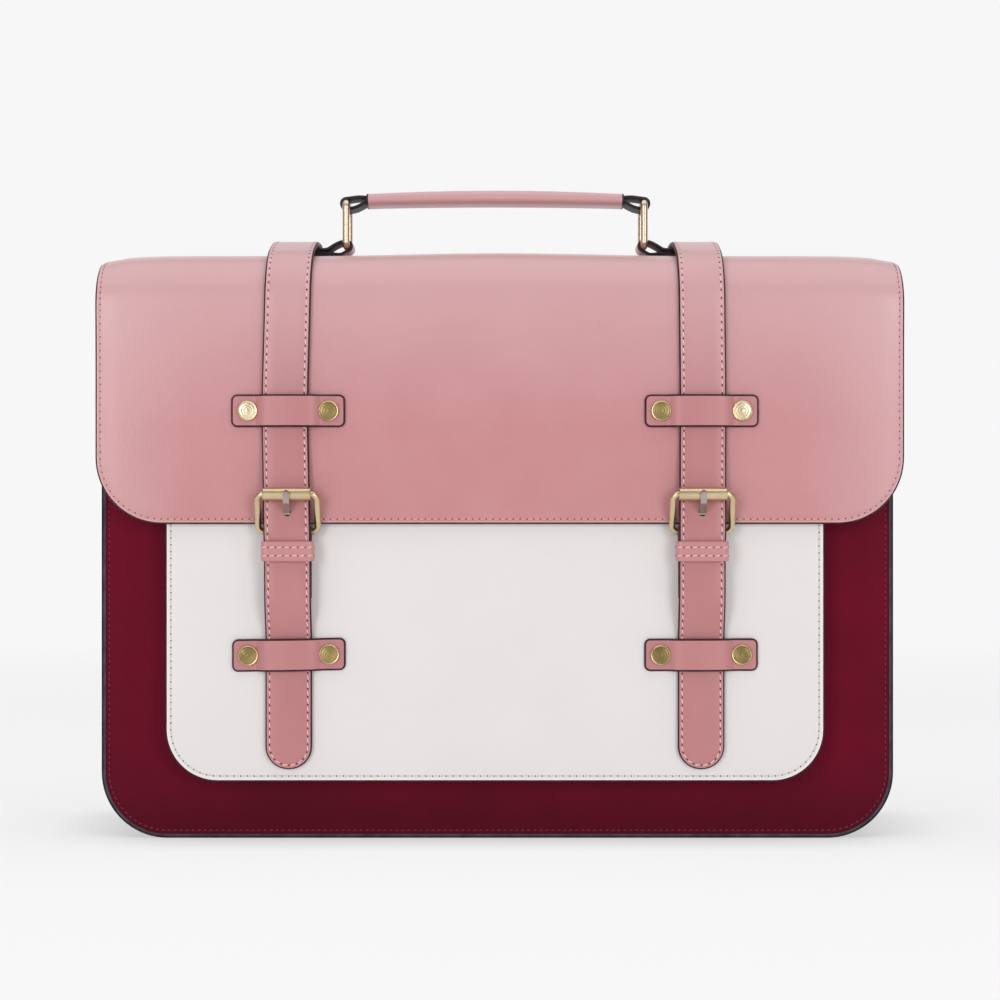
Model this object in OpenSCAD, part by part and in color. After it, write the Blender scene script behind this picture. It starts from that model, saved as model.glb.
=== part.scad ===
// Two-strap leather satchel with a top handle, built as separate leather, board and metal pieces.
// +X runs to the right seen from the front, -Y is the front, +Z is up.
// The origin is the middle of the flat base.

/* [Body] */
// Width across the front and back panels
body_w = 394; // [380:1:410]
// Depth over the front and back panels
body_d = 105; // [95:1:115]
// Height of the panels, under the flap
body_h = 284; // [275:1:295]
// Thickness of the panel leather
panel_t = 2.5; // [2:0.1:3]
// Radius of the bottom corners of panels and flap
corner_r = 33; // [25:1:40]

/* [Pocket] */
// Width of the front pocket
pocket_w = 325; // [310:1:330]
// Height of the pocket's lower edge
pocket_z0 = 29.5; // [25:0.5:34]
// Height of the pocket's open top edge
pocket_z1 = 192; // [185:1:195]
// Depth of the pocket in front of the front panel
pocket_d = 12; // [10:0.5:14]

/* [Flap] */
// Width of the flap
flap_w = 400; // [394:1:412]
// Height of the flap's front edge
flap_z0 = 157.3; // [157:0.1:158]
// Thickness of the flap with its lining
flap_t = 3; // [2.5:0.1:3.5]
// Radius of the front bend
front_bend_r = 25; // [20:1:28]
// Radius of the back bend
back_bend_r = 14; // [12:1:16]

/* [Straps and buckles] */
// Distance of each closing strap from the middle
strap_x = 102; // [95:1:104]
// Width of the closing straps
strap_w = 23.1; // [22:0.1:23.2]
// Thickness of the closing straps
strap_t = 2.4; // [2:0.1:2.5]
// Radius of the buckle wire
wire_r = 1.6; // [1.4:0.05:1.6]
// Radius of the buckle's roller
roller_r = 3.25; // [3:0.05:3.3]

/* [Handle] */
// Distance of each handle ring from the middle
ring_x = 76.7; // [74:0.1:78]
// Height of a ring between its two bars
ring_h = 22; // [20:0.5:24]
// Width of the strap through the rings
loop_w = 19.6; // [18:0.1:19.8]
// Length of the hand grip
grip_l = 132.6; // [125:0.1:134]

/* [Hidden] */
$fn = 64;
gap = 0.3;
front_y = -body_d / 2;
back_y = body_d / 2;
pocket_y = front_y - pocket_d;
flap_y = pocket_y - 1 - flap_t;
anchor_y = back_y + gap + flap_t;
lining_t = 0.6;

// The flap's top is a shallow arc from front to back between the two bends.
flap_top = body_h + 11.2;
crown_r = 296;
crown_z = flap_top - crown_r;
front_bend_y = flap_y + front_bend_r;
back_bend_y = anchor_y - back_bend_r;
front_bend_z = crown_z + sqrt(pow(crown_r - front_bend_r, 2) - pow(front_bend_y, 2));
back_bend_z = crown_z + sqrt(pow(crown_r - back_bend_r, 2) - pow(back_bend_y, 2));
front_angle = atan2(front_bend_z - crown_z, front_bend_y);
back_angle = atan2(back_bend_z - crown_z, back_bend_y);
hinge_angle = 83;
anchor_z1 = 272;
anchor_z0 = 230;
back_h = body_h - 6;
strap_back_z0 = 206;

handle_y = -8;
tab_t = 2;
tab_z0 = flap_top + gap;
tab_z1 = tab_z0 + 2 * tab_t;
ring_wire_r = 1.85;
loop_r = ring_wire_r + 0.08 + tab_t;
ring_z = tab_z0 + 4.7;
grip_rise = 3;
grip_t = 8.9;
grip_d = 24;

// The strap stands off the flap by this much where it passes over the handle tabs.
tab_edge = abs(handle_y) + loop_w / 2;
tab_lift = tab_z1 - (crown_z + sqrt(pow(crown_r, 2) - pow(tab_edge, 2)));
back_ramp = 16;
front_ramp = 46;

keeper_w = 55.1;
keeper_h = 16.2;
keeper_t = 1.9;
upper_keeper_z = 213.2;
lower_keeper_z = 92.6;
rivet_dx = 20;
rivet_r = 5.1;
shank_r = 1.5;
shank_fit = 0.05;

// Buckle: the bottom bar lies in the chape, the top bar carries the roller in front of the strap.
bar_y = flap_y - 0.7;
bar_z = 153.5;
roller_y = flap_y - 8.8;
roller_z = 172.1;
frame_l = norm([roller_y - bar_y, roller_z - bar_z]);
frame_tilt = atan2(bar_y - roller_y, roller_z - bar_z);
frame_w = 29.4;
wire_bend_r = 3.4;
roller_l = 23.6;
chape_t = 1.6;
chape_r = wire_r + 0.05 + chape_t;
chape_z0 = 119.5;
// The prong's bends, as [y, z] from the bar: out through the strap, then over the roller
prong_path = [[0, 0], [-5, 10], [-11.2, 14.8], [-13.3, 18.8]];
prong_w = 3.1;
prong_t = 2.2;
snap_z = 130;
snap_r = 7.5;
small_keeper_z = 144;
small_keeper_h = 9.8;
tail_z1 = small_keeper_z - 5.5;
tip_pivot_z = 79.5;
tip_z0 = 36;
tip_r = 1.2;

// ---- Shared shapes ----

// Front view outline with square top corners and bottom corners of radius r
module outline(w, z0, z1, r) {
    translate([-w / 2, z0 + r]) square([w, z1 - z0 - r]);
    translate([r - w / 2, z0]) square([w - 2 * r, r + 1]);
    for (side = [-1, 1]) translate([side * (w / 2 - r), z0 + r]) circle(r);
}

// A front view outline given depth d behind the plane y
module upright(y, d) {
    translate([0, y + d, 0]) rotate([90, 0, 0]) linear_extrude(d) children();
}

// A side view outline (y across, z up) given width w about x
module across(x, w) {
    translate([x - w / 2, 0, 0]) rotate([90, 0, 90]) linear_extrude(w) children();
}

// A bar of radius r and length l along X, centred
module bar_x(r, l) {
    rotate([0, 90, 0]) cylinder(r = r, h = l, center = true);
}

// A bar of radius r and length l along Y, centred
module bar_y_axis(r, l) {
    rotate([90, 0, 0]) cylinder(r = r, h = l, center = true);
}

// A wire rectangle in the XZ plane: its bars' centres are w apart and h apart
module wire_loop(w, h, bend, r) {
    for (z = [0, h]) translate([0, 0, z]) bar_x(r, w - 2 * bend);
    for (side = [-1, 1]) {
        translate([side * w / 2, 0, bend]) cylinder(r = r, h = h - 2 * bend);
        translate([side * (w / 2 - bend), 0, h - bend]) wire_corner(bend, r, side > 0 ? 0 : 90);
        translate([side * (w / 2 - bend), 0, bend]) wire_corner(bend, r, side > 0 ? 270 : 180);
    }
}

// A quarter ring in the XZ plane, starting at angle a
module wire_corner(bend, r, a) {
    rotate([90, 0, 0]) rotate([0, 0, a]) rotate_extrude(angle = 90) translate([bend, 0]) circle(r);
}

// Points [y, z] and outward normals along an arc
function arc(cy, cz, r, a0, a1, n) = [for (i = [0:n])
    let (a = a0 + (a1 - a0) * i / n) [cy + r * cos(a), cz + r * sin(a), cos(a), sin(a)]];

function ramp(u) = u <= 0 ? 0 : u >= 1 ? 1 : u * u * (3 - 2 * u);

// How far the strap rises over the handle tab at depth y
function lift(y) = let (away = abs(y - handle_y) - (tab_edge - abs(handle_y)))
    tab_lift * ramp(1 - away / (y < handle_y ? front_ramp : back_ramp));

front_arc = arc(front_bend_y, front_bend_z, front_bend_r, 180, front_angle, 12);
crown_arc = arc(0, crown_z, crown_r, front_angle, hinge_angle, 30);
crown_end = arc(0, crown_z, crown_r, hinge_angle, back_angle, 2);
back_arc = arc(back_bend_y, back_bend_z, back_bend_r, back_angle, 0, 10);

flap_curve = concat([[flap_y, flap_z0, -1, 0]], front_arc, crown_arc);
bend_curve = concat(crown_end, back_arc, [[anchor_y, anchor_z1 + gap, 1, 0]]);
strap_curve = concat(front_arc, crown_arc);

// A skin between two offsets, near and far, from a curve
function skin(curve, near, far) = concat(
    [for (p = curve) [p[0] + near * p[2], p[1] + near * p[3]]],
    [for (i = [len(curve) - 1:-1:0]) let (p = curve[i]) [p[0] + far * p[2], p[1] + far * p[3]]]);

// The strap's back face below the front bend, as [y, z]: off the flap, over the chape
strap_low = [
    [flap_y - 2.6, tail_z1],
    [flap_y - 2.6, small_keeper_z + 2],
    [bar_y - chape_r - gap, bar_z - 3],
    [bar_y - chape_r - gap, bar_z + 3],
    [flap_y - gap, upper_keeper_z - 17]];

// The strap's back face below the small keeper: past the chape, then against the pocket
tail_low = [
    [pocket_y - gap, tip_pivot_z + tip_r + gap],
    [pocket_y - gap, lower_keeper_z + 9.5],
    [flap_y - 2.6, chape_z0 - 0.5],
    [flap_y - 2.6, tail_z1 - gap]];

function thicken(points, t) = concat(points,
    [for (i = [len(points) - 1:-1:0]) [points[i][0] - t, points[i][1]]]);

// ---- Bag body ----

module front_panel() {
    color([0.40, 0.06, 0.15])
    upright(front_y, panel_t) outline(body_w, 0, body_h, corner_r);
}

module back_panel() {
    color([0.40, 0.06, 0.15])
    difference() {
        upright(back_y - panel_t, panel_t) outline(body_w, 0, back_h, corner_r);
        for (side = [-1, 1]) back_shank_hole(side);
    }
}

// One band for both sides and the base, with a stitched flange along each panel
module gusset() {
    color([0.36, 0.05, 0.13])
    difference() {
        union() {
            upright(front_y + panel_t, body_d - 2 * panel_t)
                outline(body_w - 8, 0, body_h - 8, corner_r);
            for (y = [front_y + panel_t, back_y - panel_t - 1.8])
                upright(y, 1.8) outline(body_w, 0, body_h - 8, corner_r);
        }
        upright(front_y, body_d) outline(body_w - 12, 2, body_h + 1, corner_r - 2);
    }
}

module bottom_board() {
    color([0.55, 0.45, 0.35])
    translate([0, 0, 2 + gap + 1.25])
        cube([body_w - 2 * corner_r - 8, body_d - 2 * panel_t - 1, 2.5], center = true);
}

// An open-topped box of thin cloth against the inside of the body
module lining() {
    floor_z = 5.2;
    color([0.75, 0.68, 0.62])
    difference() {
        upright(front_y + panel_t + gap, body_d - 2 * panel_t - 2 * gap)
            outline(body_w - 12.8, floor_z, body_h - 2, corner_r - 2);
        upright(front_y + panel_t + gap + lining_t, body_d - 2 * panel_t - 2 * gap - 2 * lining_t)
            outline(body_w - 12.8 - 2 * lining_t, floor_z + lining_t, body_h, corner_r - 2);
        for (side = [-1, 1]) back_shank_hole(side);
    }
}

module pocket_panel() {
    color([0.90, 0.87, 0.86])
    difference() {
        upright(pocket_y, 2.2) outline(pocket_w, pocket_z0, pocket_z1, 26);
        for (side = [-1, 1]) shank_holes(side, lower_keeper_z);
    }
}

// A narrow band that gives the pocket its depth
module pocket_gusset() {
    color([0.85, 0.82, 0.80])
    difference() {
        upright(pocket_y + 2.2, pocket_d - 2.2) outline(pocket_w - 1, pocket_z0 + 0.5, pocket_z1, 25.5);
        upright(pocket_y, pocket_d + 1) outline(pocket_w - 5, pocket_z0 + 2.5, pocket_z1 + 1, 23.5);
    }
}

module snap_sockets() {
    color([0.75, 0.72, 0.66])
    for (side = [-1, 1]) translate([side * strap_x, pocket_y - 0.85, snap_z])
        rotate([90, 0, 0]) difference() {
            cylinder(r = snap_r, h = 1.7, center = true);
            translate([0, 0, -0.35]) cylinder(r = 2.8, h = 2);
        }
}

// ---- Riveted keepers ----

// Holes for the two rivets of the keeper at height z
module shank_holes(side, z) {
    for (dx = [-rivet_dx, rivet_dx]) translate([side * strap_x + dx, 0, z])
        rotate([90, 0, 0]) cylinder(r = shank_r + shank_fit, h = 3 * body_d, center = true);
}

module back_shank_hole(side) {
    translate([side * strap_x, back_y, strap_back_z0 + 12])
        rotate([90, 0, 0]) cylinder(r = shank_r + shank_fit, h = 40, center = true);
}

// A band that lies on the face y at both ends and passes over the strap in the middle
module keeper(side, y, z) {
    hump = gap + strap_t + gap;
    inner_x = strap_w / 2 + 0.5;
    foot_x = inner_x + 1.8;
    color([0.80, 0.57, 0.58])
    translate([side * strap_x, 0, 0])
    difference() {
        intersection() {
            translate([0, 0, z - keeper_h / 2]) linear_extrude(keeper_h) polygon([
                [-keeper_w / 2, y], [-foot_x, y], [-inner_x, y - hump], [inner_x, y - hump],
                [foot_x, y], [keeper_w / 2, y], [keeper_w / 2, y - keeper_t],
                [foot_x + 1, y - keeper_t], [inner_x + 0.6, y - hump - keeper_t],
                [-inner_x - 0.6, y - hump - keeper_t], [-foot_x - 1, y - keeper_t],
                [-keeper_w / 2, y - keeper_t]]);
            translate([0, y + 1, 0]) rotate([90, 0, 0]) linear_extrude(12)
                round_rect(keeper_w, z - keeper_h / 2, keeper_h, 3);
        }
        translate([-side * strap_x, 0, 0]) shank_holes(side, z);
    }
}

module round_rect(w, z0, h, r) {
    translate([-w / 2, z0 + r]) square([w, h - 2 * r]);
    translate([r - w / 2, z0]) square([w - 2 * r, h]);
    for (side = [-1, 1], z = [z0 + r, z0 + h - r]) translate([side * (w / 2 - r), z]) circle(r);
}

// A rivet along Y: flat domed head in front of y0, shank, and a washer behind y1
module rivet(x, z, y0, y1, facing = 1) {
    translate([x, 0, z]) {
        translate([0, y0, 0]) rotate([facing * 90, 0, 0]) {
            cylinder(r = rivet_r, h = 0.9);
            translate([0, 0, 0.9]) cylinder(r = rivet_r - 1, h = 0.6);
        }
        translate([0, (y0 + y1) / 2, 0]) rotate([90, 0, 0])
            cylinder(r = shank_r, h = abs(y1 - y0) + 1, center = true);
        translate([0, y1, 0]) rotate([-facing * 90, 0, 0]) cylinder(r = 4, h = 1);
    }
}

module keeper_rivets(z, y0, y1) {
    color([0.66, 0.56, 0.34])
    for (side = [-1, 1], dx = [-rivet_dx, rivet_dx]) rivet(side * strap_x + dx, z, y0, y1);
}

module back_rivets() {
    color([0.66, 0.56, 0.34])
    for (side = [-1, 1]) rivet(side * strap_x, strap_back_z0 + 12, back_y + gap + strap_t,
        back_y - panel_t - gap - lining_t, -1);
}

// ---- Flap ----

// The front view shape that every part of the flap is trimmed to
module flap_trim(y0, y1) {
    upright(y0, y1 - y0) outline(flap_w, flap_z0, flap_top + 5, corner_r);
}

module flap_shell(near, far) {
    difference() {
        intersection() {
            across(0, flap_w) polygon(skin(flap_curve, near, far));
            flap_trim(flap_y - 1, back_y);
        }
        for (side = [-1, 1]) shank_holes(side, upper_keeper_z);
    }
}

module flap_panel() {
    color([0.80, 0.57, 0.58])
    flap_shell(lining_t - flap_t, 0);
}

module flap_lining() {
    color([0.72, 0.60, 0.56])
    flap_shell(-flap_t, lining_t - flap_t);
}

// The stretch of flap leather that bends when the flap opens
module flap_bend() {
    color([0.80, 0.57, 0.58])
    across(0, flap_w) polygon(skin(bend_curve, -flap_t, 0));
}

module flap_anchor() {
    color([0.80, 0.57, 0.58])
    upright(back_y, flap_t) translate([-flap_w / 2, anchor_z0]) square([flap_w, anchor_z1 - anchor_z0]);
}

// ---- Closing straps ----

// Strap over the top and down the front to the small keeper, with the slot for the prong
module strap(side) {
    near = [for (p = strap_curve) [p[0] + p[2] * (gap + lift(p[0])), p[1] + p[3] * (gap + lift(p[0]))]];
    far = [for (p = strap_curve) let (d = gap + strap_t + lift(p[0])) [p[0] + p[2] * d, p[1] + p[3] * d]];
    low_far = [for (p = strap_low) [p[0] - strap_t, p[1]]];
    path = concat(strap_low, near);
    back = concat(low_far, far);
    slot_w = prong_w + 0.7;
    color([0.76, 0.52, 0.53])
    difference() {
        across(side * strap_x, strap_w)
            polygon(concat(path, [for (i = [len(back) - 1:-1:0]) back[i]]));
        translate([side * strap_x, flap_y - 5, 0]) rotate([90, 0, 0])
            linear_extrude(20, center = true) {
                translate([-slot_w / 2, bar_z + 3]) square([slot_w, 8.3]);
                for (z = [bar_z + 3, bar_z + 11.3]) translate([0, z]) circle(slot_w / 2);
            }
    }
}

module strap_bend(side) {
    color([0.76, 0.52, 0.53])
    across(side * strap_x, strap_w) polygon(skin(bend_curve, gap, gap + strap_t));
}

// The strap's riveted end, lying on the flap and then on the back panel
module strap_anchor(side) {
    top_y = back_y + gap + flap_t;
    color([0.76, 0.52, 0.53])
    difference() {
        intersection() {
            across(side * strap_x, strap_w) polygon([
                [top_y, anchor_z1], [top_y, anchor_z0 - 0.5], [back_y + gap, anchor_z0 - 3.5],
                [back_y + gap, strap_back_z0], [back_y + gap + strap_t, strap_back_z0],
                [back_y + gap + strap_t, anchor_z0 - 3.9], [top_y + strap_t, anchor_z0 - 0.9],
                [top_y + strap_t, anchor_z1]]);
            translate([side * strap_x, 0, 0]) upright(back_y, 10)
                outline(strap_w, strap_back_z0, anchor_z1 + 1, strap_w / 2 - 0.05);
        }
        back_shank_hole(side);
    }
}

// The strap between the small keeper and the end of the riveted lower keeper
module strap_tail(side) {
    color([0.76, 0.52, 0.53])
    across(side * strap_x, strap_w) polygon(thicken(tail_low, strap_t));
}

// The free end, which lifts below the lower keeper
module strap_tip(side) {
    mid_y = pocket_y - gap - strap_t / 2;
    color([0.76, 0.52, 0.53])
    translate([side * strap_x, 0, 0]) {
        upright(mid_y - strap_t / 2, strap_t) outline(strap_w, tip_z0, tip_pivot_z, strap_w / 2 - 0.05);
        translate([0, mid_y, tip_pivot_z]) bar_x(strap_t / 2, strap_w);
    }
}

// ---- Buckles ----

// Folded strip that holds the buckle's bottom bar, open in the middle for the prong
module chape(side) {
    layer_y = bar_y + chape_t;
    color([0.70, 0.45, 0.47])
    translate([side * strap_x, 0, 0])
    difference() {
        union() {
            translate([0, bar_y, bar_z]) bar_x(chape_r, strap_w);
            translate([-strap_w / 2, bar_y - chape_t, chape_z0]) cube([strap_w, 2 * chape_t, bar_z - chape_z0]);
        }
        translate([0, bar_y, bar_z]) bar_x(wire_r + 0.05, strap_w + 2);
        translate([-2.5, bar_y - 5, bar_z - 5]) cube([5, 10, 12]);
    }
}

module snap_studs() {
    color([0.75, 0.72, 0.66])
    for (side = [-1, 1]) translate([side * strap_x, 0, snap_z]) {
        translate([0, pocket_y - 2, 0]) rotate([90, 0, 0]) cylinder(r = snap_r - 0.5, h = 1.1);
        translate([0, pocket_y - 0.8, 0]) rotate([90, 0, 0]) cylinder(r = 2.4, h = 1.6);
    }
}

// Stitched loop round the strap and the chape, just below the buckle
module small_keeper(side) {
    inner_w = strap_w + 0.6;
    in_y = bar_y + chape_t + gap;
    out_y = bar_y - chape_r - gap - strap_t - 0.1;
    wall = 1.35;
    color([0.84, 0.62, 0.63])
    translate([side * strap_x, 0, small_keeper_z - small_keeper_h / 2]) difference() {
        translate([-inner_w / 2 - wall, out_y - wall, 0])
            cube([inner_w + 2 * wall, in_y - out_y + 1.6 * wall, small_keeper_h]);
        translate([-inner_w / 2, out_y, -1]) cube([inner_w, in_y - out_y, small_keeper_h + 2]);
    }
}

module buckle_frame(side) {
    color([0.84, 0.76, 0.58])
    translate([side * strap_x, bar_y, bar_z]) rotate([frame_tilt, 0, 0])
        wire_loop(frame_w, frame_l, wire_bend_r, wire_r);
}

module roller(side) {
    color([0.86, 0.78, 0.60])
    translate([side * strap_x, roller_y, roller_z]) difference() {
        bar_x(roller_r, roller_l);
        bar_x(wire_r + 0.08, roller_l + 2);
    }
}

module prong(side) {
    last = len(prong_path) - 1;
    color([0.62, 0.60, 0.58])
    translate([side * strap_x, bar_y, bar_z]) difference() {
        union() {
            bar_x(2.85, prong_w);
            for (i = [1:last]) let (d = prong_path[i] - prong_path[i - 1])
                translate([0, prong_path[i - 1][0], prong_path[i - 1][1]]) rotate([atan2(-d[0], d[1]), 0, 0]) {
                    translate([-prong_w / 2, -prong_t / 2, 0]) cube([prong_w, prong_t, norm(d)]);
                    if (i == last) translate([0, 0, norm(d)]) bar_y_axis(prong_w / 2, prong_t);
                }
            for (i = [1:last - 1]) translate([0, prong_path[i][0], prong_path[i][1]]) bar_x(prong_t / 2, prong_w);
        }
        bar_x(wire_r + 0.08, prong_w + 2);
    }
}

// ---- Handle ----

module ring(side) {
    color([0.84, 0.76, 0.58])
    translate([side * ring_x, handle_y, ring_z]) rotate([0, 0, 90])
        wire_loop(24.2, ring_h, 2.1, ring_wire_r);
}

// Leather strip folded round the ring's lower bar, its ends clamped under the closing strap
module handle_tab(side) {
    end_x = strap_x + 10;
    color([0.78, 0.54, 0.55])
    difference() {
        union() {
            translate([side * ring_x, handle_y, ring_z]) bar_y_axis(loop_r, loop_w);
            translate([0, handle_y - loop_w / 2, 0]) upright(0, loop_w) polygon([
                [side * ring_x, ring_z + loop_r], [side * (ring_x + 8), tab_z1], [side * end_x, tab_z1],
                [side * end_x, tab_z0], [side * (ring_x + 1), tab_z0], [side * ring_x, ring_z - loop_r]]);
        }
        translate([side * ring_x, handle_y, ring_z]) bar_y_axis(ring_wire_r + 0.08, loop_w + 2);
    }
}

// Side view of the handle strap, doubled and folded round both rings' upper bars
module core_outline() {
    z = ring_z + ring_h;
    polygon([
        [-ring_x, z + loop_r], [8 - ring_x, z + grip_rise + tab_t], [ring_x - 8, z + grip_rise + tab_t],
        [ring_x, z + loop_r], [ring_x, z - loop_r], [ring_x - 8, z + grip_rise - tab_t],
        [8 - ring_x, z + grip_rise - tab_t], [-ring_x, z - loop_r]]);
}

module handle_core() {
    color([0.78, 0.54, 0.55])
    difference() {
        union() {
            upright(handle_y - loop_w / 2, loop_w) core_outline();
            for (side = [-1, 1]) translate([side * ring_x, handle_y, ring_z + ring_h]) bar_y_axis(loop_r, loop_w);
        }
        for (side = [-1, 1]) translate([side * ring_x, handle_y, ring_z + ring_h])
            bar_y_axis(ring_wire_r + 0.08, loop_w + 2);
    }
}

// A slab with rounded long edges, centred on the grip
module grip_slab(l, d, t) {
    translate([-l / 2, handle_y, ring_z + ring_h + grip_rise]) rotate([90, 0, 90]) linear_extrude(l) {
        square([d - t, t], center = true);
        for (side = [-1, 1]) translate([side * (d - t) / 2, 0]) circle(t / 2);
    }
}

module core_space() {
    translate([0, handle_y, ring_z + ring_h + grip_rise])
        cube([grip_l + 2, loop_w + 0.1, 2 * tab_t + 0.1], center = true);
}

module handle_filler() {
    color([0.85, 0.80, 0.72])
    difference() {
        grip_slab(grip_l - 4, grip_d - 2.5, grip_t - 2.5);
        core_space();
    }
}

module handle_grip() {
    color([0.80, 0.57, 0.58])
    difference() {
        grip_slab(grip_l, grip_d, grip_t);
        grip_slab(grip_l - 3.9, grip_d - 2.4, grip_t - 2.4);
        core_space();
    }
}

front_panel();
back_panel();
gusset();
bottom_board();
lining();
pocket_panel();
pocket_gusset();
keeper(-1, pocket_y, lower_keeper_z);  // left_lower_keeper
keeper(1, pocket_y, lower_keeper_z);  // right_lower_keeper
keeper_rivets(lower_keeper_z, pocket_y - keeper_t, pocket_y + 2.2);  // pocket_rivets
snap_sockets();
flap_anchor();
strap_anchor(-1);  // left_strap_anchor
strap_anchor(1);  // right_strap_anchor
back_rivets();
flap_panel();
flap_lining();
flap_bend();
strap(-1);  // left_strap
strap(1);  // right_strap
strap_bend(-1);  // left_strap_bend
strap_bend(1);  // right_strap_bend
strap_tail(-1);  // left_strap_tail
strap_tail(1);  // right_strap_tail
keeper(-1, flap_y, upper_keeper_z);  // left_upper_keeper
keeper(1, flap_y, upper_keeper_z);  // right_upper_keeper
keeper_rivets(upper_keeper_z, flap_y - keeper_t, flap_y + flap_t);  // flap_rivets
chape(-1);  // left_chape
chape(1);  // right_chape
small_keeper(-1);  // left_small_keeper
small_keeper(1);  // right_small_keeper
snap_studs();
handle_tab(-1);  // left_handle_tab
handle_tab(1);  // right_handle_tab
strap_tip(-1);  // left_strap_tip
strap_tip(1);  // right_strap_tip
buckle_frame(-1);  // left_buckle_frame
buckle_frame(1);  // right_buckle_frame
roller(-1);  // left_roller
roller(1);  // right_roller
prong(-1);  // left_prong
prong(1);  // right_prong
ring(-1);  // left_ring
ring(1);  // right_ring
handle_core();
handle_filler();
handle_grip();
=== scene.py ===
import math

import bmesh
import bpy
import numpy as np
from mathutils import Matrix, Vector
from mathutils.geometry import delaunay_2d_cdt


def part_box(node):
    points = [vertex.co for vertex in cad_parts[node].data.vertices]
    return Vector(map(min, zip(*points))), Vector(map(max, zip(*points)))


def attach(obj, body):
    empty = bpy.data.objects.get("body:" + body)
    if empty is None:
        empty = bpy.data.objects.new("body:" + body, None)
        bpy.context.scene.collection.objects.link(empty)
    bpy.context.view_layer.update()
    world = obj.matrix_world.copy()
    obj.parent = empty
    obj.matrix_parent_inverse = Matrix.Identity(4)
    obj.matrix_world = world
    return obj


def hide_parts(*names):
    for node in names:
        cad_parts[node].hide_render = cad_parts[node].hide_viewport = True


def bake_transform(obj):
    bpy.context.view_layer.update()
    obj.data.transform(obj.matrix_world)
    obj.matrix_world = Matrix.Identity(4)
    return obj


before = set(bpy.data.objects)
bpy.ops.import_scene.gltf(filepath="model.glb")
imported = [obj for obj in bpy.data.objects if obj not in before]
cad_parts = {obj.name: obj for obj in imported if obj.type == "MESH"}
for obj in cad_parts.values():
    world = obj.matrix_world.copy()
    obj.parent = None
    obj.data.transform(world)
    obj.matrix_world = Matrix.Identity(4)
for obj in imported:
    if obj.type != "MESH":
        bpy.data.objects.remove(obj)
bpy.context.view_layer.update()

# Lengths below are in millimetres; MM turns them into metres.
MM = 0.001
SIDES = (("left", -1), ("right", 1))


def box(node):
    """A CAD node's lowest and highest corner, in millimetres."""
    low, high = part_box(node)
    return np.array(low) / MM, np.array(high) / MM


# ---- Sizes read from the frame ----

flap_lo, flap_hi = box("flap_panel")
panel_lo, panel_hi = box("front_panel")
back_lo, back_hi = box("back_panel")
pocket_lo, pocket_hi = box("pocket_panel")
anchor_lo, anchor_hi = box("flap_anchor")
strap_lo, strap_hi = box("right_strap")
tip_lo, tip_hi = box("right_strap_tip")
back_strap_lo, _ = box("right_strap_anchor")
_, gusset_hi = box("gusset")
lining_lo, lining_hi = box("lining")
upper_keeper_lo, upper_keeper_hi = box("right_upper_keeper")
lower_keeper_lo, lower_keeper_hi = box("right_lower_keeper")
small_lo, small_hi = box("right_small_keeper")
chape_lo, chape_hi = box("right_chape")
roller_lo, roller_hi = box("right_roller")
ring_lo, ring_hi = box("right_ring")
core_lo, core_hi = box("handle_core")
grip_lo, grip_hi = box("handle_grip")
tab_lo, tab_hi = box("right_handle_tab")

# Thicknesses, gaps and corner radii
GAP = 0.3
FLAP_T = 2.4
LINING_T = 0.5
STRAP_T = 2.4
TAB_T = 2.0
CORNER_R = 33
WIRE_R = 1.6
RING_WIRE_R = 1.85

# The flap's profile: two bends joined by a shallow crown, which rises a little in the middle and
# drops at its two ends
FRONT_BEND_R = 25
BACK_BEND_R = 14
CROWN_R = 296
CROWN_RISE = 1.5
CROWN_DROP = 3.6

# Places that several pieces share
STRAP_W = strap_hi[0] - strap_lo[0]
STRAP_X = (strap_lo[0] + strap_hi[0]) / 2
flap_y = flap_lo[1]
flap_top = flap_hi[2]
flap_half = flap_hi[0]
anchor_y = anchor_hi[1]
pocket_y = pocket_lo[1]
bar_z = chape_hi[2] - WIRE_R - 1.65
bar_y = flap_y - 0.7
roller_z = (roller_lo[2] + roller_hi[2]) / 2
small_z = (small_lo[2] + small_hi[2]) / 2
upper_z = (upper_keeper_lo[2] + upper_keeper_hi[2]) / 2
lower_z = (lower_keeper_lo[2] + lower_keeper_hi[2]) / 2
handle_y = (ring_lo[1] + ring_hi[1]) / 2
ring_x = (ring_lo[0] + ring_hi[0]) / 2
ring_low_z = ring_lo[2] + RING_WIRE_R
ring_top_z = ring_hi[2] - RING_WIRE_R

# How far the photo's leather pieces sit off the model's middle plane, and the extra half width
# that the sewn edges take up
FLAP_SHIFT = 2.4
BODY_SHIFT = 1.2
BODY_EXTRA = 1.2
POCKET_EXTRA = 1.0


# ---- Materials ----

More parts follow.
